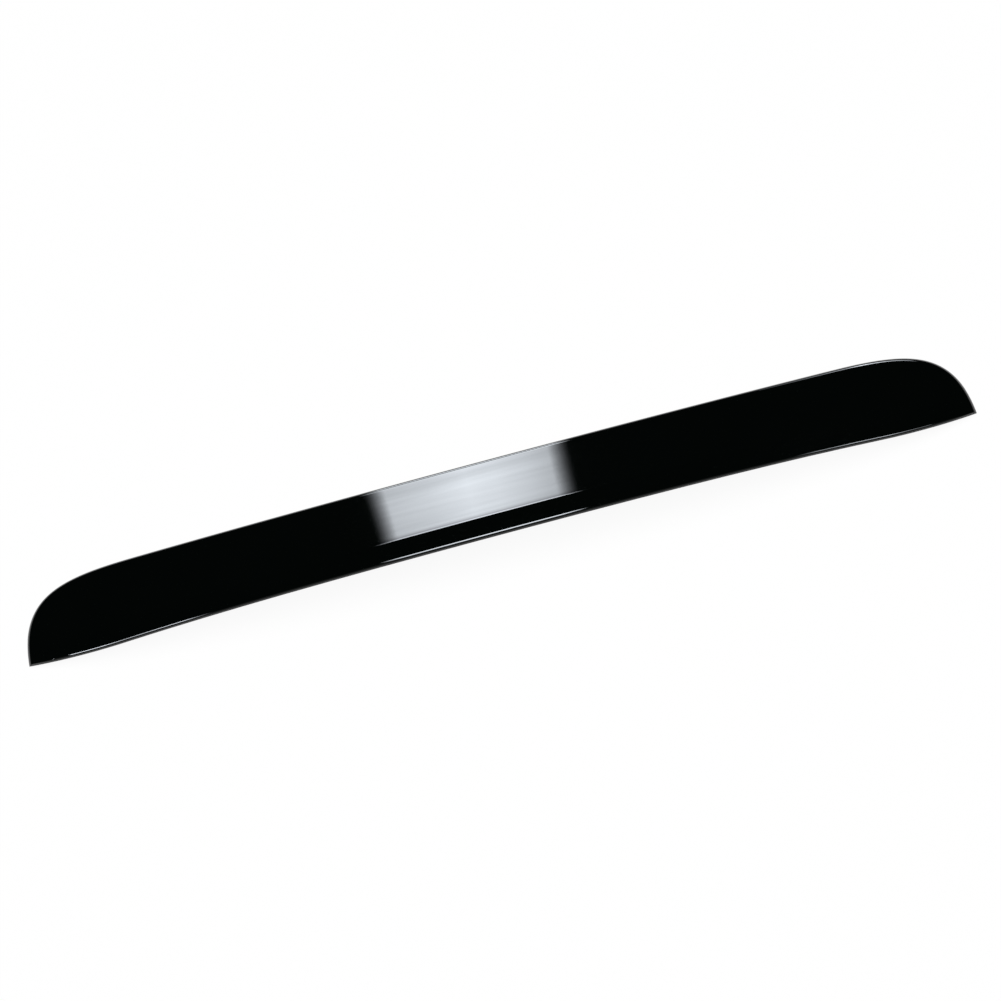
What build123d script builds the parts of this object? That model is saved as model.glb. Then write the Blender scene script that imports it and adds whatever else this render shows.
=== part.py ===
from build123d import *
from math import asin, atan, degrees, radians, sqrt, tan
import os

# A roof spoiler for the rear edge of a saloon car's roof, moulded in one piece.
# X runs across the car, Y forward and Z up, in millimetres.
# While it is shaped, the roof's crown line is at z = 0 and the trailing edge at y = 0.

# Overall size
span = 1120.0
chord = 116.1
crown_radius = 5280.0

# Plan view: both long edges bow rearward, and each end rounds off to a swept tip
leading_bow_radius = 10300.0
trailing_bow_radius = 13180.0
shoulder_run = 144.0
shoulder_pull = 88.0
tip_reach = 13.6
tip_pull = 107.0
tip_sweep_run = 116.0
tip_sweep_radius = 560.0

# Heights over the roof, which fade towards the tips
leading_height = 6.0
tip_height = 3.6
fade_overrun = 15.0
fade_power = 4

# Section: a crowned deck, a hollow crease, and a lip that kicks up and rolls over
deck_entry_angle = 9.0
deck_exit_angle = -1.0
crease_radius = 4.0
lip_run = 33.6
lip_angle = 14.5
roll_radius = 15.0
roll_exit_angle = 0.0

# Edges
leading_round = 9.0
trailing_round = 2.1

# Underside: a skin, a thicker lip, a bonding land round the front and ends, and a bonding rail behind
skin = 3.4
lip_thickness = 4.0
land_width = 13.0
rail_run = 37.0
rail_width = 10.0
cavity_corner = 6.0

# Stiffening ribs across the hollow, which stay clear of the roof
rib_count = 7
rib_pitch = 130.0
rib_thickness = 2.2
rib_clearance = 1.6

# Flat pads for the adhesive tape, on the land and on the rail
pad_count = 5
pad_pitch = 170.0
pad_length = 60.0
pad_width = 7.0
pad_proud = 0.8

# Lying on a flat surface, the part pitches forward until it balances on its rounded ends
rest_pitch = 0.9

# Room round the part for the solids that shape it
margin = 30.0
depth = 120.0

# How finely the skin is drawn: places between the section's bends, and sections out to the tip
section_pieces = [2, 8, 4, 4, 4, 2]
station_shares = [0.0, 0.25, 0.5, 0.75, 0.9, 1.0]
edge_samples = 200

half_span = span / 2
shoulder_half_width = half_span - shoulder_run
tip_sweep_half_width = half_span - tip_sweep_run
fade_half_width = half_span + fade_overrun
half_room = half_span + margin
front_room = chord + 2 * margin


# Lines of the roof and of the two long edges
def crown_drop(x):
    """How far the roof lies below its crown line at x."""
    return crown_radius - sqrt(crown_radius**2 - x**2)


def trailing_y(x):
    """Where the trailing edge's main bow lies at x."""
    return x**2 / (2 * trailing_bow_radius)


def leading_y(x):
    """Where the leading edge's bow lies at x."""
    return chord + x**2 / (2 * leading_bow_radius)


# Section of the outer skin: its slope changes evenly between places counted back from the leading edge
crease_half = crease_radius * radians(lip_angle - deck_exit_angle) / 2
crease_place = chord - lip_run
roll_length = roll_radius * radians(lip_angle - roll_exit_angle)
slope_places = [0.0, crease_place - crease_half, crease_place + crease_half, chord - roll_length, chord]
slope_angles = [deck_entry_angle, deck_exit_angle, lip_angle, lip_angle, roll_exit_angle]
slopes = [tan(radians(angle)) for angle in slope_angles]


def rise(s):
    """How far the skin has risen at s behind the leading edge, on the centre line."""
    if s < 0:
        return slopes[0] * s
    total = slopes[-1] * max(0.0, s - chord)
    for i in range(len(slopes) - 1):
        start, end = slope_places[i], slope_places[i + 1]
        reach = min(s, end) - start
        if reach > 0:
            bend = (slopes[i + 1] - slopes[i]) / (end - start)
            total += slopes[i] * reach + bend * reach**2 / 2
    return total


def top_height(x, s):
    """Height of the outer skin at x and at s behind the leading edge."""
    fade = 1 - (abs(x) / fade_half_width) ** fade_power
    return tip_height - crown_drop(x) + fade * (leading_height - tip_height + rise(s))


def spread(start, end, pieces):
    """Evenly spaced places from start up to, but not including, end."""
    return [start + (end - start) * i / pieces for i in range(pieces)]


def section_places():
    """Places that the section's line passes through, closer together where it bends."""
    breaks = [-margin] + slope_places + [chord + margin]
    places = []
    for i, count in enumerate(section_pieces):
        places += spread(breaks[i], breaks[i + 1], count)
    return places + [breaks[-1]]


def section(x):
    """Closed outline of everything under the outer skin, in the plane at x."""
    places = section_places()
    length = places[-1] - places[0]
    top = [(x, trailing_y(x) + chord - s, top_height(x, s)) for s in places]
    skin_line = Edge.make_spline(top, parameters=[(s - places[0]) / length for s in places])
    front, rear = top[0], top[-1]
    corners = [rear, (x, rear[1], -depth), (x, front[1], -depth), front]
    sides = [Edge.make_line(corners[i], corners[i + 1]) for i in range(3)]
    return Wire([skin_line] + sides)


def under_skin():
    """Everything under the outer skin, lofted across the car."""
    right = [half_span * share for share in station_shares] + [half_room]
    stations = [-x for x in reversed(right[1:])] + right
    return Solid.make_loft([section(x) for x in stations])


# Plan view
def parabola(left, vertex, right):
    """A bow from left to right that turns at the vertex, midway between them."""
    middle = Vector(vertex) * 2 - (Vector(left) + Vector(right)) / 2
    return Bezier(left, middle, right)


def plan_front(inset):
    """Plan of the leading edge and the rounded ends, drawn in by inset and open at the rear."""
    slope = shoulder_half_width / leading_bow_radius
    shoulder = Vector(shoulder_half_width, leading_y(shoulder_half_width) - inset)
    run_on = shoulder + Vector(1, slope) * (shoulder_pull - inset)
    tip = Vector(half_span - inset, tip_reach)
    right_end = Bezier(shoulder, run_on, tip + Vector(0, tip_pull - inset), tip)
    left_end = mirror(right_end, about=Plane.YZ)
    leading = parabola(left_end @ 0, (0, chord - inset), right_end @ 0)
    rear = Polyline(tip, (tip.X, -margin), (-tip.X, -margin), left_end @ 1)
    return make_face(leading.edges() + right_end.edges() + left_end.edges() + rear.edges())


def plan_ahead_of(distance):
    """Plan of everything more than distance ahead of the trailing edge."""
    x = tip_sweep_half_width
    bow_end = Vector(x, trailing_y(x) + distance)
    bow = parabola((-x, bow_end.Y), (0, distance), bow_end)
    run = half_room - x
    sweep = run * x / trailing_bow_radius + run**2 / (2 * tip_sweep_radius)
    sweep_end = bow_end + Vector(run, sweep)
    right_sweep = TangentArc(bow_end, sweep_end, tangent=bow % 1)
    left_sweep = mirror(right_sweep, about=Plane.YZ)
    front = Polyline(sweep_end, (half_room, front_room), (-half_room, front_room), left_sweep @ 1)
    return make_face(bow.edges() + right_sweep.edges() + left_sweep.edges() + front.edges())


def plan_behind(distance):
    """Plan of everything less than distance ahead of the trailing edge."""
    field = Pos(0, (front_room - margin) / 2) * Rectangle(2 * half_room, front_room + margin)
    return field - plan_ahead_of(distance)


def upright(plan):
    """The plan as a tall upright solid."""
    return extrude(Pos(0, 0, -depth) * plan, 2 * depth)


def roof(lift):
    """The car's roof as everything under its crowned line, raised by lift."""
    drop = crown_drop(half_room)
    arch = ThreePointArc((-half_room, -drop), (0, 0), (half_room, -drop))
    foot = Polyline(arch @ 1, (half_room, -2 * depth), (-half_room, -2 * depth), arch @ 0)
    below = make_face(arch.edges() + foot.edges())
    return Pos(0, 0, lift) * extrude(Plane.XZ * below, 2 * front_room, both=True)


# Outer form
def trailing_walls(solid):
    """The upright faces along the trailing edge."""

    def is_trailing(face):
        middle = face.center()
        is_upright = face.geom_type in (GeomType.EXTRUSION, GeomType.CYLINDER)
        return is_upright and middle.Y - trailing_y(middle.X) < lip_run / 2

    return solid.faces().filter_by(is_trailing)


def outer_form(filled):
    """The part's outer form before it is hollowed, with its top edges rounded."""
    block = filled & upright(plan_front(0) & plan_ahead_of(0))
    skin_face = block.faces().sort_by(Axis.Z)[-1]
    front_edges = [edge for edge in skin_face.edges() if edge.center().Y > chord / 2]
    block = fillet(front_edges, leading_round)
    rear_edges = [wall.edges().sort_by(Axis.Z)[-1] for wall in trailing_walls(block)]
    return fillet(rear_edges, trailing_round)


# Underside
def under_lip(filled):
    """The open space under the lip, behind the bonding rail."""
    return Pos(0, 0, -lip_thickness) * filled & upright(plan_behind(rail_run))


def ribs():
    """Webs that cross the hollow and end clear of the roof."""
    webs = GridLocations(rib_pitch, 0, rib_count, 1) * Box(rib_thickness, 2 * front_room, 2 * depth)
    return [web - roof(rib_clearance) for web in webs]


def hollow(filled):
    """The space inside the bonding land and rail, with the ribs left standing."""
    room = upright(plan_front(land_width) & plan_ahead_of(rail_run + rail_width))
    upright_edges = room.edges().filter_by(Axis.Z).sort_by(lambda edge: abs(edge.center().X))
    room = fillet(upright_edges[-2:], cavity_corner)
    return Pos(0, 0, -skin) * filled & room - ribs()


def pad(x, y, bow_radius):
    """A flat tape pad at x and y, square to the roof and in line with the edge's bow."""
    tilt = degrees(asin(x / crown_radius))
    turn = degrees(atan(x / bow_radius))
    return Pos(x, y, -crown_drop(x)) * Rot(0, tilt, turn) * Box(pad_length, pad_width, 2 * pad_proud)


def pads():
    """Tape pads along the front land and along the rail."""
    front = [(x, leading_y(x) - land_width / 2, leading_bow_radius) for x in pad_places()]
    rear = [(x, trailing_y(x) + rail_run + rail_width / 2, trailing_bow_radius) for x in pad_places()]
    return [pad(*place) for place in front + rear]


def pad_places():
    """Where the tape pads stand across the car."""
    return [place.position.X for place in GridLocations(pad_pitch, 0, pad_count, 1)]


def spoiler_body():
    """The whole moulding, over the roof that it is made for."""
    filled = under_skin()
    moulded = outer_form(filled) - roof(0) - under_lip(filled) - hollow(filled)
    return moulded + pads()


def at_rest(body):
    """The body as it lies on a flat surface, with the origin under its middle."""
    lying = Rot(-rest_pitch, 0, 0) * body
    edge_shares = spread(0, 1, edge_samples)
    lowest = min((edge @ share).Z for edge in lying.edges() for share in edge_shares)
    return Pos(0, -lying.bounding_box().center().Y, -lowest) * lying


os.makedirs("parts", exist_ok=True)
export_step(at_rest(spoiler_body()), "parts/spoiler_body.step")
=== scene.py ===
import math

import bmesh
import bpy
import numpy as np
from mathutils import Matrix, Vector
from mathutils.kdtree import KDTree


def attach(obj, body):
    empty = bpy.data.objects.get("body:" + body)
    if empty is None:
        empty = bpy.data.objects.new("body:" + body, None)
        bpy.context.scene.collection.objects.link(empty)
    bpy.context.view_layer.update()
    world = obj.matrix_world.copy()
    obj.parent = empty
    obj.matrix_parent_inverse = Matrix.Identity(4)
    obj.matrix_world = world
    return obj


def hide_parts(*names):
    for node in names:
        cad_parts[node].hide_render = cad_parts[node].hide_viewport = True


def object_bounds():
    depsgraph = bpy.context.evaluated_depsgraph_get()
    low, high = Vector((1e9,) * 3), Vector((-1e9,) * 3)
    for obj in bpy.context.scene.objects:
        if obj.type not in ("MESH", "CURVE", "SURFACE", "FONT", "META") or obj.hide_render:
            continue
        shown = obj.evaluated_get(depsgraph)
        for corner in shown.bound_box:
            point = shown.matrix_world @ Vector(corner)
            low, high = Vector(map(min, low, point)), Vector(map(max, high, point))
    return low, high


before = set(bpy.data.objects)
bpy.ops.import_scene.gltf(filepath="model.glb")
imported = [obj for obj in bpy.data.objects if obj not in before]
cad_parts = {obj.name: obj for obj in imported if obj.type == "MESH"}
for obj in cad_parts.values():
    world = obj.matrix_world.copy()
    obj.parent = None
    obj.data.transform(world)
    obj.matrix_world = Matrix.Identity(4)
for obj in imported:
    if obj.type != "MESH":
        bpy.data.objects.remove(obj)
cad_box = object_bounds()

# A roof spoiler of gloss black plastic on a white floor, among panels of light that its curves mirror.
# X runs across the car, Y forward and Z up, in metres.

# Sizes of the moulding, with the names that they have in the solids
span = 1.120
chord = 0.1161
crown_radius = 5.280
leading_bow_radius = 10.3
trailing_bow_radius = 13.18
shoulder_run = 0.144
shoulder_pull = 0.088
tip_reach = 0.0136
tip_pull = 0.107
tip_sweep_run = 0.116
tip_sweep_radius = 0.560
leading_height = 0.006
tip_height = 0.0036
fade_overrun = 0.015
fade_power = 4
deck_entry_angle = 9.0
deck_exit_angle = -1.0
crease_radius = 0.004
lip_run = 0.0336
lip_angle = 14.5
roll_radius = 0.015
roll_exit_angle = 0.0
leading_round = 0.009
trailing_round = 0.0021
lip_thickness = 0.0040
rail_run = 0.037
rest_pitch = 0.9
margin = 0.030

half_span = span / 2
shoulder_half_width = half_span - shoulder_run
tip_sweep_half_width = half_span - tip_sweep_run
fade_half_width = half_span + fade_overrun

# The length over which the trailing edge's rounding runs out to nothing at each tip
lip_run_out = 0.025

# How finely the outer skin is meshed: columns from the centre line to a tip, and rows from front to rear
lead_columns = 190
end_columns = 110
tip_columns = 16
round_rows = 12
lip_round_rows = 9
fine_step = 0.0004
deck_step = 0.0025

# How far the fine rows run on past the lip's roll and the crease
roll_overrun = 0.0008
crease_overrun = 0.0016

# How closely slopes, the tips and the foot of the leading edge's rounding are worked out
slope_step = 0.0002
tip_trials = 4000
foot_trials = 400
foot_passes = 6

# Faces of the underside: how far they may lean upward, and their least distance from the trailing wall
steepest_up = 0.1
wall_tolerance = 0.0004

# How the underside's rim is drawn onto the skin's, and how close two points are when they are one
rim_steps = (0.0005, 0.00003)
rim_reach = 0.0015
same_place = 0.00002

# The moulding's material slots
skin_slot = 0
under_slot = 1

# The bend from which an edge is shaded as sharp, and the plastic's optical index
sharp_angle = math.radians(32.0)
plastic_ior = 1.5

# The floor: how far it runs, and how much of it glows where it is seen
floor_reach = 40.0
floor_glow = 0.93

# The lamp overhead: its side, its power in watts and its height
overhead_side = 7.0
overhead_power = 410.0
overhead_height = 5.0

# Panels of light: how far off they stand, how finely they are meshed, their tint and their streaks
softbox_reach = 3.0
softbox_columns = 25
softbox_rows = 25
softbox_tint = (0.885, 0.938, 1.0, 1.0)
streak_stretch = (1.5, 16.0, 1.0)
streak_scale = 1.0

# Brightness is given as a picture shows it, and raised to this power for the light itself
display_power = 2.2

# Where a new stop of a ramp stands until it is put in its place
ramp_middle = 0.5

# The photograph's frame, in pixels, and where the part's tips stand in it
image_size = 1001
tip_gap_px = 980.85
tip_middle_px = (502.69, 538.17)

# The camera looks from behind and above, and is rolled about its own axis
camera_elevation = math.radians(56.0)
camera_roll = math.radians(14.98)
camera_distance = 9.0
camera_sight = 100.0
sensor_width = 36.0


# Lines of the roof and of the plan
def crown_drop(x):
    """How far the roof lies below its crown line at x."""
    return crown_radius - np.sqrt(crown_radius**2 - x**2)


def trailing_bow(x):
    """Where the trailing edge's main bow lies at x."""
    return x**2 / (2 * trailing_bow_radius)


def leading_bow(x):
    """Where the leading edge's bow lies at x."""
    return chord + x**2 / (2 * leading_bow_radius)


def trailing_line(x):
    """Trailing edge in plan: the main bow, then an arc that sweeps each tip forward."""
    side = np.abs(x)
    start = np.array([tip_sweep_half_width, trailing_bow(tip_sweep_half_width)])
    slope = tip_sweep_half_width / trailing_bow_radius
    run = tip_sweep_run + margin
    reach = np.array([run, run * slope + run**2 / (2 * tip_sweep_radius)])
    square = np.array([-slope, 1.0]) / math.hypot(slope, 1.0)
    radius = reach @ reach / (2 * reach @ square)
    middle = start + radius * square
    arc = middle[1] - np.sqrt(radius**2 - (np.maximum(side, start[0]) - middle[0]) ** 2)
    return np.where(side < start[0], trailing_bow(x), arc)


def ahead(point):
    """How far points of the plan lie ahead of the trailing edge."""
    return point[..., 1] - trailing_line(point[..., 0])


def square_to(ways):
    """Unit directions square to these, on their right."""
    ways = ways / np.linalg.norm(ways, axis=1)[:, None]
    return np.stack([ways[:, 1], -ways[:, 0]], axis=1)


def end_curve(t):
    """Points of the right end's plan, from the shoulder to past the tip, and its inward directions."""
    t = t[:, None]
    u = 1 - t
    slope = shoulder_half_width / leading_bow_radius
    shoulder = np.array([shoulder_half_width, leading_bow(shoulder_half_width)])
    run_on = shoulder + shoulder_pull * np.array([1.0, slope])
    tip = np.array([half_span, tip_reach])
    run_in = tip + np.array([0.0, tip_pull])
    points = shoulder * u**3 + 3 * run_on * t * u**2 + 3 * run_in * t**2 * u + tip * t**3
    ways = (run_on - shoulder) * u**2 + 2 * (run_in - run_on) * t * u + (tip - run_in) * t**2
    return points, square_to(ways)


# Section of the outer skin, counted back from the leading edge
crease_half = crease_radius * math.radians(lip_angle - deck_exit_angle) / 2
crease_place = chord - lip_run
roll_length = roll_radius * math.radians(lip_angle - roll_exit_angle)
slope_places = [0.0, crease_place - crease_half, crease_place + crease_half, chord - roll_length, chord]
slope_angles = [deck_entry_angle, deck_exit_angle, lip_angle, lip_angle, roll_exit_angle]
slopes = [math.tan(math.radians(angle)) for angle in slope_angles]


def rise(s):
    """How far the skin has risen at s behind the leading edge, on the centre line."""
    total = slopes[0] * np.minimum(s, 0.0) + slopes[-1] * np.maximum(s - chord, 0.0)
    for i in range(len(slopes) - 1):
        length = slope_places[i + 1] - slope_places[i]
        reach = np.clip(s - slope_places[i], 0.0, length)
        total = total + slopes[i] * reach + (slopes[i + 1] - slopes[i]) / length * reach**2 / 2
    return total


def skin_height(point):
    """Height of the outer skin over points of the plan, before its edges are rounded."""
    x, y = point[..., 0], point[..., 1]
    fade = 1 - (np.abs(x) / fade_half_width) ** fade_power
    climb = leading_height - tip_height + rise(trailing_bow(x) + chord - y)
    return tip_height - crown_drop(x) + fade * climb


def underside(point):
    """Height of the part's lower edge: on the roof, or under the lip behind the rail."""
    foot = -crown_drop(point[..., 0])
    lip = np.maximum(foot, skin_height(point) - lip_thickness)
    return np.where(ahead(point) < rail_run, lip, foot)


def raised(plan, height):
    """Points of the plan, set at these heights."""
    return np.concatenate([plan, height[:, None]], axis=1)


# Rounded edges
def rounding(edge, inward, radius):
    """A rounding between the skin and an upright wall: its centre's height and its angle at the skin."""
    middle = edge + inward * radius
    reach = inward * slope_step
    slope = (skin_height(middle + reach) - skin_height(middle - reach)) / (2 * slope_step)
    height = skin_height(middle) - radius[:, 0] * np.sqrt(1 + slope**2)
    return height, np.arctan2(1.0, slope)


def on_rounding(edge, inward, radius, height, angle):
    """The point of a rounding whose normal stands at that angle from the wall's."""
    plan = edge + inward * radius * (1 - np.cos(angle))[:, None]
    return raised(plan, height + radius[:, 0] * np.sin(angle))


def foot_angles(edge, inward, radius, height, top_angle):
    """Where the leading edge's rounding ends: on the roof, under the lip, or at the trailing edge."""
    angle = np.zeros(len(edge))
    for _ in range(foot_passes):
        point = on_rounding(edge, inward, radius, height, angle)[:, :2]
        angle = np.arcsin(np.clip((underside(point) - height) / radius[:, 0], 0.0, 1.0))
    trial = np.linspace(0.0, 1.0, foot_trials)
    for i in np.nonzero(ahead(edge) < leading_round)[0]:
        line = edge[i] + inward[i] * leading_round * (1 - np.cos(trial * top_angle[i]))[:, None]
        inside = ahead(line) >= 0
        angle[i] = max(angle[i], trial[inside.argmax()] * top_angle[i])
    return np.minimum(angle, top_angle)


# Outer skin of the right half, in rows from the leading edge's foot to the trailing edge's
def front_line():
    """Leading edge and rounded end in plan, out to the tip, and their inward directions."""
    x = np.linspace(0.0, shoulder_half_width, lead_columns, endpoint=False)
    lead = np.stack([x, leading_bow(x)], axis=1)
    lead_inward = square_to(np.stack([np.ones_like(x), x / leading_bow_radius], axis=1))

    # The outline meets the trailing edge at the tip, and then its rounding runs out along that edge
    trial = np.linspace(0.0, 1.0, tip_trials)
    points, inward = end_curve(trial)
    radius = np.full((len(trial), 1), leading_round)
    near = on_rounding(points, inward, radius, *rounding(points, inward, radius))[:, :2]
    tip = trial[ahead(points) > 0][-1]
    last = trial[ahead(near) > 0][-1]
    end_places = np.linspace(0.0, tip, end_columns, endpoint=False)
    tip_places = np.linspace(tip, last, tip_columns)
    points, inward = end_curve(np.concatenate([end_places, tip_places]))
    return np.concatenate([lead, points]), np.concatenate([lead_inward, inward])


def leading_rows(edge, inward):
    """Rows from the part's lower edge over the leading edge's rounding."""
    radius = np.full((len(edge), 1), leading_round)
    height, top_angle = rounding(edge, inward, radius)
    foot_angle = foot_angles(edge, inward, radius, height, top_angle)
    foot = on_rounding(edge, inward, radius, height, foot_angle)[:, :2]
    rows = [raised(foot, underside(foot))]
    for share in np.linspace(0.0, 1.0, round_rows):
        angle = foot_angle + (top_angle - foot_angle) * share
        rows.append(on_rounding(edge, inward, radius, height, angle))
    return rows


def trailing_places(edge, last_x):
    """Where the columns end on the trailing edge, the last at last_x, and the directions forward."""
    path = np.concatenate([[0.0], np.cumsum(np.linalg.norm(np.diff(edge, axis=0), axis=1))])
    x = last_x * path / path[-1]
    turn = (trailing_line(x + slope_step) - trailing_line(x - slope_step)) / (2 * slope_step)
    forward = -square_to(np.stack([np.ones_like(turn), turn], axis=1))
    return np.stack([x, trailing_line(x)], axis=1), forward


def deck_shares():
    """Shares of the way from the trailing rounding to the leading one, close where the skin bends."""
    roll_end = roll_length + roll_overrun
    crease_near = lip_run - crease_half - crease_overrun
    crease_far = lip_run + crease_half + crease_overrun
    places = np.concatenate([
        np.arange(trailing_round, roll_end, fine_step),
        np.arange(roll_end, crease_near, deck_step),
        np.arange(crease_near, crease_far, fine_step),
        np.arange(crease_far, chord - leading_round, deck_step),
        [chord - leading_round],
    ])
    return (places - places[0]) / (places[-1] - places[0])


def skin_rows():
    """Rows of points down the outer skin, with one column for each place along the leading edge."""
    edge, inward = front_line()
    rows = leading_rows(edge, inward)
    near = rows[-1][:, :2]
    last_x = near[-1, 0]
    rear, forward = trailing_places(edge, last_x)

    # The deck runs to the trailing edge's rounding, which gets smaller towards the tip
    radius = trailing_round * np.clip((last_x - rear[:, 0]) / lip_run_out, 0.0, 1.0)[:, None]
    height, top_angle = rounding(rear, forward, radius)
    far = on_rounding(rear, forward, radius, height, top_angle)[:, :2]
    for share in deck_shares()[::-1][1:-1]:
        plan = far + (near - far) * share
        rows.append(raised(plan, skin_height(plan)))
    for share in np.linspace(1.0, 0.0, lip_round_rows):
        rows.append(on_rounding(rear, forward, radius, height, top_angle * share))
    rows.append(raised(rear, underside(rear)))

    # The last column is one upright line, where the end's rounding meets the trailing wall
    grid = np.array(rows)
    grid[1:-1, -1] = np.append(rear[-1], skin_height(rear[-1]))
    grid[0, -1] = grid[-1, -1]
    return grid


# The moulding's mesh
def pitched(points, angle):
    """Points turned about X, with the front going down by an angle in degrees."""
    pitch = math.radians(angle)
    turned = points.copy()
    turned[..., 1] = points[..., 1] * math.cos(pitch) + points[..., 2] * math.sin(pitch)
    turned[..., 2] = points[..., 2] * math.cos(pitch) - points[..., 1] * math.sin(pitch)
    return turned


def skin_mesh():
    """Points and faces of the outer skin as the solids lie, and how far it was set over for that."""
    right = skin_rows()
    left = right[:, :0:-1] * np.array([-1.0, 1.0, 1.0])
    grid = pitched(np.concatenate([left, right], axis=1), rest_pitch)
    low = np.array(cad_box[0])
    shift = np.array([0.0, low[1] - grid[..., 1].min(), low[2] - grid[..., 2].min()])
    grid += shift
    rows, columns = grid.shape[:2]
    number = np.arange(rows * columns).reshape(rows, columns)
    faces = np.stack([number[:-1, :-1], number[1:, :-1], number[1:, 1:], number[:-1, 1:]], axis=-1)
    return grid.reshape(-1, 3), faces.reshape(-1, 4), shift


def underside_mesh(node, shift):
    """Points of the solid's own mesh, and those of its triangles that make up the hollow underside."""
    mesh = node.data
    points = np.array([tuple(point.co) for point in mesh.vertices])
    normals = np.array([tuple(face.normal) for face in mesh.polygons])
    middles = np.array([tuple(face.center) for face in mesh.polygons])
    up = pitched(normals, -rest_pitch)[:, 2]
    from_wall = np.abs(ahead(pitched(middles - shift, -rest_pitch)))
    kept = (up < steepest_up) & (from_wall >= wall_tolerance)
    faces = [tuple(face.vertices) for face in mesh.polygons if kept[face.index]]
    return points, faces


def join_close_points(shape):
    """Joins points that lie in one place, and drops points that no face uses."""
    bmesh.ops.remove_doubles(shape, verts=shape.verts, dist=same_place)
    bmesh.ops.delete(shape, geom=[v for v in shape.verts if not v.link_faces], context="VERTS")


def rim(shape, slot):
    """Open edges of the faces that have this material slot."""
    open_edges = [edge for edge in shape.edges if edge.is_boundary]
    return [edge for edge in open_edges if edge.link_faces[0].material_index == slot]


def rim_points(shape, slot):
    """Points along those edges, in the mesh's own order."""
    shape.verts.index_update()
    points = {point for edge in rim(shape, slot) for point in edge.verts}
    return sorted(points, key=lambda point: point.index)


def skin_finder(shape):
    """A finder for the nearest point of the skin's rim."""
    points = rim_points(shape, skin_slot)
    finder = KDTree(len(points))
    for i, point in enumerate(points):
        finder.insert(point.co, i)
    finder.balance()
    return finder


def draw_rim(shape, rim_step):
    """Divides the underside's rim into short steps, and draws its points onto the skin's rim."""
    finder = skin_finder(shape)
    for edge in rim(shape, under_slot):
        bmesh.ops.bisect_edges(shape, edges=[edge], cuts=math.ceil(edge.calc_length() / rim_step))
    for point in rim_points(shape, under_slot):
        place, _, gap = finder.find(point.co)
        if gap < rim_reach:
            point.co = place
    join_close_points(shape)


def weld(mesh):
    """Joins the skin and the underside at their rims, so that they are one closed surface."""
    shape = bmesh.new()
    shape.from_mesh(mesh)
    join_close_points(shape)
    for rim_step in rim_steps:
        draw_rim(shape, rim_step)
    shape.to_mesh(mesh)
    shape.free()


# Node helpers
def link(tree, source, output, target, entry):
    """Links one node's output to another's input, by their names."""
    tree.links.new(source.outputs[output], target.inputs[entry])


def noise(tree, coords, scale, detail):
    """A cloudy pattern over the object, finer where the scale is larger."""
    node = tree.nodes.new("ShaderNodeTexNoise")
    node.inputs["Scale"].default_value = scale
    node.inputs["Detail"].default_value = detail
    link(tree, coords, "Object", node, "Vector")
    return node


def ranged(tree, pattern, low, high):
    """A pattern's output, spread from low to high."""
    node = tree.nodes.new("ShaderNodeMapRange")
    node.inputs["To Min"].default_value = low
    node.inputs["To Max"].default_value = high
    link(tree, pattern, "Fac", node, "Value")
    return node.outputs["Result"]


def combine(tree, operation, first, second):
    """The outcome of an operation on two outputs, or on an output and a number."""
    node = tree.nodes.new("ShaderNodeMath")
    node.operation = operation
    tree.links.new(first, node.inputs[0])
    if isinstance(second, float):
        node.inputs[1].default_value = second
    else:
        tree.links.new(second, node.inputs[1])
    return node.outputs["Value"]


def new_material(name):
    """A material, with its nodes, its shader and the coordinates for its patterns."""
    material = bpy.data.materials.new(name)
    material.use_nodes = True
    tree = material.node_tree
    shader = tree.nodes["Principled BSDF"]
    coords = tree.nodes.new("ShaderNodeTexCoord")
    return material, tree, shader, coords


def two_tones(tree, shader, pattern, first, second):
    """Colours a shader with two tones that a pattern mixes."""
    mix = tree.nodes.new("ShaderNodeMix")
    mix.data_type = "RGBA"
    mix.inputs["A"].default_value = (*first, 1.0)
    mix.inputs["B"].default_value = (*second, 1.0)
    link(tree, pattern, "Fac", mix, "Factor")
    link(tree, mix, "Result", shader, "Base Color")


def relief(tree, shader, pattern, strength, depth):
    """Gives a shader the fine relief of a pattern."""
    bump = tree.nodes.new("ShaderNodeBump")
    bump.inputs["Strength"].default_value = strength
    bump.inputs["Distance"].default_value = depth
    link(tree, pattern, "Fac", bump, "Height")
    link(tree, bump, "Normal", shader, "Normal")


# The moulding and its materials
def gloss_black():
    """Polished black plastic, with a faint orange peel."""
    material, tree, shader, coords = new_material("gloss_black")
    cloud = noise(tree, coords, scale=9.0, detail=3.0)
    two_tones(tree, shader, cloud, first=(0.0007, 0.0012, 0.0010), second=(0.0010, 0.0016, 0.0014))
    tree.links.new(ranged(tree, cloud, low=0.015, high=0.03), shader.inputs["Roughness"])
    peel = noise(tree, coords, scale=220.0, detail=2.0)
    relief(tree, shader, peel, strength=0.05, depth=0.00002)
    shader.inputs["IOR"].default_value = plastic_ior
    return material


def moulded_black():
    """The same plastic as it leaves the mould, with a fine grain, for the hidden side."""
    material, tree, shader, coords = new_material("moulded_black")
    grain = noise(tree, coords, scale=900.0, detail=2.0)
    two_tones(tree, shader, grain, first=(0.010, 0.010, 0.011), second=(0.016, 0.016, 0.017))
    tree.links.new(ranged(tree, grain, low=0.45, high=0.6), shader.inputs["Roughness"])
    relief(tree, shader, grain, strength=0.2, depth=0.0001)
    return material


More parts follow.
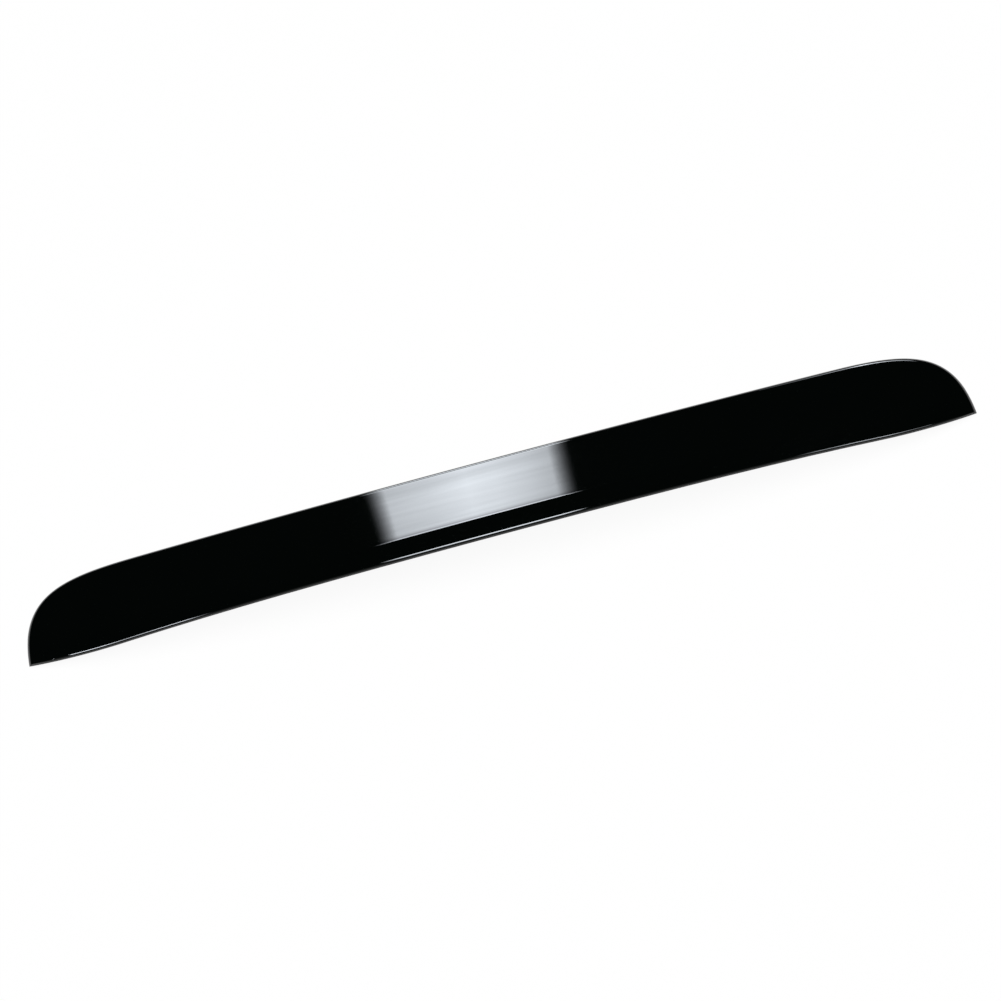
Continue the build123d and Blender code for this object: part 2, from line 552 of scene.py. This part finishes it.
def build_moulding():
    """The whole moulding: a smooth outer skin over the solid's own underside."""
    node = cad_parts["spoiler_body"]
    points, faces, shift = skin_mesh()
    under_points, under_faces = underside_mesh(node, shift)
    base = len(points)
    all_points = np.concatenate([points, under_points])
    all_faces = [tuple(face) for face in faces] + [tuple(base + i for i in face) for face in under_faces]
    mesh = bpy.data.meshes.new("spoiler_moulding")
    mesh.from_pydata(all_points.tolist(), [], all_faces)
    mesh.materials.append(gloss_black())
    mesh.materials.append(moulded_black())
    slots = np.full(len(all_faces), skin_slot, dtype=np.int32)
    slots[len(faces):] = under_slot
    mesh.polygons.foreach_set("material_index", slots)
    weld(mesh)
    mesh.shade_smooth()
    mesh.set_sharp_from_angle(angle=sharp_angle)
    piece = bpy.data.objects.new("spoiler_moulding", mesh)
    bpy.context.scene.collection.objects.link(piece)
    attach(piece, "root")
    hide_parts("spoiler_body")


# Stage
def build_floor():
    """A white floor that mostly glows where it is seen, so that the part's shadow on it stays faint."""
    mesh = bpy.data.meshes.new("floor")
    plan = [(-1, -1), (1, -1), (1, 1), (-1, 1)]
    mesh.from_pydata([(x * floor_reach, y * floor_reach, 0.0) for x, y in plan], [], [(0, 1, 2, 3)])
    material, tree, shader, coords = new_material("floor_white")
    cloud = noise(tree, coords, scale=3.0, detail=2.0)
    two_tones(tree, shader, cloud, first=(0.88, 0.88, 0.88), second=(0.90, 0.90, 0.90))
    shader.inputs["Roughness"].default_value = 1.0
    shader.inputs["Specular IOR Level"].default_value = 0.0
    path = tree.nodes.new("ShaderNodeLightPath")
    seen = path.outputs["Is Camera Ray"]
    for kind in ("Is Glossy Ray", "Is Transmission Ray"):
        seen = combine(tree, "MAXIMUM", seen, path.outputs[kind])
    glow = tree.nodes.new("ShaderNodeEmission")
    mix = tree.nodes.new("ShaderNodeMixShader")
    tree.links.new(combine(tree, "MULTIPLY", seen, floor_glow), mix.inputs["Fac"])
    tree.links.new(shader.outputs["BSDF"], mix.inputs[1])
    tree.links.new(glow.outputs["Emission"], mix.inputs[2])
    link(tree, mix, "Shader", tree.nodes["Material Output"], "Surface")
    mesh.materials.append(material)
    floor = bpy.data.objects.new("floor", mesh)
    bpy.context.scene.collection.objects.link(floor)


def softbox_mesh(name, foot, top):
    """A panel bent round the part. Its foot and top each run from one x and elevation to another."""
    mesh = bpy.data.meshes.new(name)
    across, up = np.meshgrid(np.linspace(0.0, 1.0, softbox_columns), np.linspace(0.0, 1.0, softbox_rows))
    (foot_left, foot_right), (top_left, top_right) = np.array(foot), np.array(top)
    low = foot_left + (foot_right - foot_left) * across[..., None]
    high = top_left + (top_right - top_left) * across[..., None]
    place = low + (high - low) * up[..., None]
    x = place[..., 0]
    angle = np.radians(place[..., 1])
    points = np.stack([x, softbox_reach * np.cos(angle), softbox_reach * np.sin(angle)], axis=-1)
    number = np.arange(across.size).reshape(across.shape)
    faces = np.stack([number[:-1, :-1], number[:-1, 1:], number[1:, 1:], number[1:, :-1]], axis=-1)
    mesh.from_pydata(points.reshape(-1, 3).tolist(), [], faces.reshape(-1, 4).tolist())
    shares = np.stack([across, up], axis=-1).reshape(-1, 2)
    layer = mesh.uv_layers.new(name="shares")
    for loop in mesh.loops:
        layer.data[loop.index].uv = shares[loop.vertex_index]
    return mesh


def brightness(tree, split, axis, stops):
    """A ramp of brightness along one side of a panel, with stops of a place and a level."""
    ramp = tree.nodes.new("ShaderNodeValToRGB")
    elements = ramp.color_ramp.elements
    while len(elements) < len(stops):
        elements.new(ramp_middle)
    for element, (place, level) in zip(elements, stops):
        element.position = place
        element.color = (level, level, level, 1.0)
    link(tree, split, axis, ramp, "Fac")
    return ramp.outputs["Color"]


def streaks(tree, coords):
    """Faint streaks along a panel."""
    stretch = tree.nodes.new("ShaderNodeMapping")
    stretch.inputs["Scale"].default_value = streak_stretch
    link(tree, coords, "UV", stretch, "Vector")
    streak = tree.nodes.new("ShaderNodeTexNoise")
    streak.inputs["Scale"].default_value = streak_scale
    link(tree, stretch, "Vector", streak, "Vector")
    return ranged(tree, streak, low=0.85, high=1.15)


def softbox(name, foot, top, strength, across, upward):
    """A glowing panel that is seen only in reflections. Stops give its brightness across and upward."""
    mesh = softbox_mesh(name, foot, top)
    material = bpy.data.materials.new(name)
    material.use_nodes = True
    tree = material.node_tree
    tree.nodes.clear()
    coords = tree.nodes.new("ShaderNodeTexCoord")
    split = tree.nodes.new("ShaderNodeSeparateXYZ")
    link(tree, coords, "UV", split, "Vector")
    sideways = brightness(tree, split, "X", across)
    shown = combine(tree, "MULTIPLY", sideways, brightness(tree, split, "Y", upward))
    level = combine(tree, "POWER", shown, display_power)
    streaked = combine(tree, "MULTIPLY", level, streaks(tree, coords))
    glow = tree.nodes.new("ShaderNodeEmission")
    glow.inputs["Color"].default_value = softbox_tint
    tree.links.new(combine(tree, "MULTIPLY", streaked, strength), glow.inputs["Strength"])
    output = tree.nodes.new("ShaderNodeOutputMaterial")
    link(tree, glow, "Emission", output, "Surface")
    mesh.materials.append(material)
    panel = bpy.data.objects.new(name, mesh)
    panel.visible_camera = False
    panel.visible_diffuse = False
    panel.visible_shadow = False
    bpy.context.scene.collection.objects.link(panel)


def build_lamp():
    """Soft light from overhead, which the part doesn't mirror."""
    overhead = bpy.data.lights.new("overhead", "AREA")
    overhead.shape = "SQUARE"
    overhead.size = overhead_side
    overhead.energy = overhead_power
    lamp = bpy.data.objects.new("overhead", overhead)
    lamp.location = (0.0, 0.0, overhead_height)
    lamp.visible_glossy = False
    bpy.context.scene.collection.objects.link(lamp)


def build_panels():
    """Panels of light for the reflections, each where the photograph's highlights call for it."""
    even = [(0.0, 0.0), (0.2, 1.0), (0.8, 1.0), (1.0, 0.0)]

    # The front panel, which the deck mirrors from the leading edge to the crease
    softbox(
        "front_panel",
        foot=[(-0.299, 35.0), (0.207, 35.0)],
        top=[(-0.328, 61.0), (0.227, 61.0)],
        strength=19.0,
        across=[
            (0.0, 0.0), (0.105, 0.84), (0.3, 0.91), (0.49, 1.0),
            (0.63, 0.965), (0.775, 0.885), (0.894, 0.8), (1.0, 0.0),
        ],
        upward=[
            (0.0, 0.95), (0.12, 0.95), (0.19, 0.91), (0.3, 0.985),
            (0.69, 0.975), (0.8, 0.975), (1.0, 0.0),
        ],
    )

    # A sill under it, which the lip's roll mirrors as a bright line
    softbox(
        "front_sill",
        foot=[(-0.300, 28.3), (0.210, 28.3)],
        top=[(-0.302, 35.0), (0.212, 35.0)],
        strength=19.5,
        across=[
            (0.0, 0.0), (0.03, 0.5), (0.06, 0.75), (0.1, 0.87), (0.5, 0.95),
            (0.9, 1.0), (0.94, 0.88), (0.97, 0.6), (1.0, 0.0),
        ],
        upward=[(0.0, 0.0), (0.15, 1.0), (1.0, 1.0)],
    )

    # A low strip, which the rounded leading edge mirrors
    softbox(
        "front_strip",
        foot=[(-0.250, 2.7), (0.176, 2.7)],
        top=[(-0.270, 21.0), (0.190, 21.0)],
        strength=13.0,
        across=[(0.0, 0.0), (0.08, 0.9), (0.5, 1.0), (0.92, 0.9), (1.0, 0.0)],
        upward=even,
    )

    # A slanted strip on the right, for the leading edge there
    softbox(
        "right_strip",
        foot=[(0.60, 14.0), (1.36, 24.0)],
        top=[(0.66, 26.5), (1.42, 37.0)],
        strength=30.0,
        across=[
            (0.0, 0.2), (0.15, 0.36), (0.33, 0.6), (0.41, 1.0),
            (0.5, 0.85), (0.68, 0.68), (0.95, 0.5), (1.0, 0.0),
        ],
        upward=even,
    )

    # Panels over the two ends, for the trailing edge there
    softbox(
        "left_end_panel",
        foot=[(-1.765, 62.7), (-0.93, 62.7)],
        top=[(-2.05, 92.0), (-0.97, 92.0)],
        strength=36.0,
        across=[(0.0, 1.0), (0.34, 1.0), (0.53, 0.75), (0.868, 0.95), (1.0, 0.0)],
        upward=even,
    )
    softbox(
        "right_end_panel",
        foot=[(0.93, 62.7), (1.745, 62.7)],
        top=[(0.97, 92.0), (2.03, 92.0)],
        strength=19.4,
        across=[
            (0.0, 0.0), (0.12, 0.75), (0.24, 0.85), (0.3, 1.0), (0.56, 1.0),
            (0.65, 0.76), (0.84, 0.53), (0.96, 0.5), (1.0, 0.0),
        ],
        upward=even,
    )


def fading(tree, split, axis, start, end, strength):
    """A glow that grows from nothing at start to full at end, along one axis of the sky."""
    fade = tree.nodes.new("ShaderNodeMapRange")
    fade.interpolation_type = "SMOOTHSTEP"
    fade.inputs["From Min"].default_value = start
    fade.inputs["From Max"].default_value = end
    fade.inputs["To Min"].default_value = 0.0
    fade.inputs["To Max"].default_value = strength
    link(tree, split, axis, fade, "Value")
    return fade.outputs["Result"]


def build_world():
    """A dark studio that brightens towards the rear, and a little towards the horizon."""
    world = bpy.data.worlds.new("studio")
    bpy.context.scene.world = world
    world.use_nodes = True
    tree = world.node_tree
    coords = tree.nodes.new("ShaderNodeTexCoord")
    split = tree.nodes.new("ShaderNodeSeparateXYZ")
    link(tree, coords, "Generated", split, "Vector")
    rear = fading(tree, split, "Y", start=0.35, end=-0.9, strength=0.3)
    horizon = fading(tree, split, "Z", start=0.33, end=0.0, strength=0.12)
    sky = tree.nodes["Background"]
    sky.inputs["Color"].default_value = (1.0, 1.0, 1.0, 1.0)
    tree.links.new(combine(tree, "ADD", rear, horizon), sky.inputs["Strength"])


def build_camera():
    """The photograph's viewpoint, far away, with the tips at their places in the picture."""
    back = Vector((0.0, -math.cos(camera_elevation), math.sin(camera_elevation)))
    level = Vector((1.0, 0.0, 0.0))
    upright = Vector((0.0, math.sin(camera_elevation), math.cos(camera_elevation)))
    right = level * math.cos(camera_roll) - upright * math.sin(camera_roll)
    up = level * math.sin(camera_roll) + upright * math.cos(camera_roll)
    low, high = cad_box
    tip_middle = Vector((0.0, low.y + (trailing_line(half_span) - trailing_line(0.0)), tip_height))
    pixel = (high.x - low.x) / tip_gap_px
    offset = Vector((
        (tip_middle_px[0] - image_size / 2) * pixel,
        (image_size / 2 - tip_middle_px[1]) * pixel,
    ))
    target = tip_middle - right * offset.x - up * offset.y
    data = bpy.data.cameras.new("camera")
    data.sensor_width = sensor_width
    data.lens = sensor_width * camera_distance / (pixel * image_size)
    data.clip_end = camera_sight
    camera = bpy.data.objects.new("camera", data)
    axes = Matrix((right, up, back)).transposed().to_4x4()
    camera.matrix_world = Matrix.Translation(target + back * camera_distance) @ axes
    bpy.context.scene.collection.objects.link(camera)
    bpy.context.scene.camera = camera


build_moulding()
build_floor()
build_lamp()
build_panels()
build_world()
build_camera()
bpy.context.scene.view_settings.view_transform = "Standard"
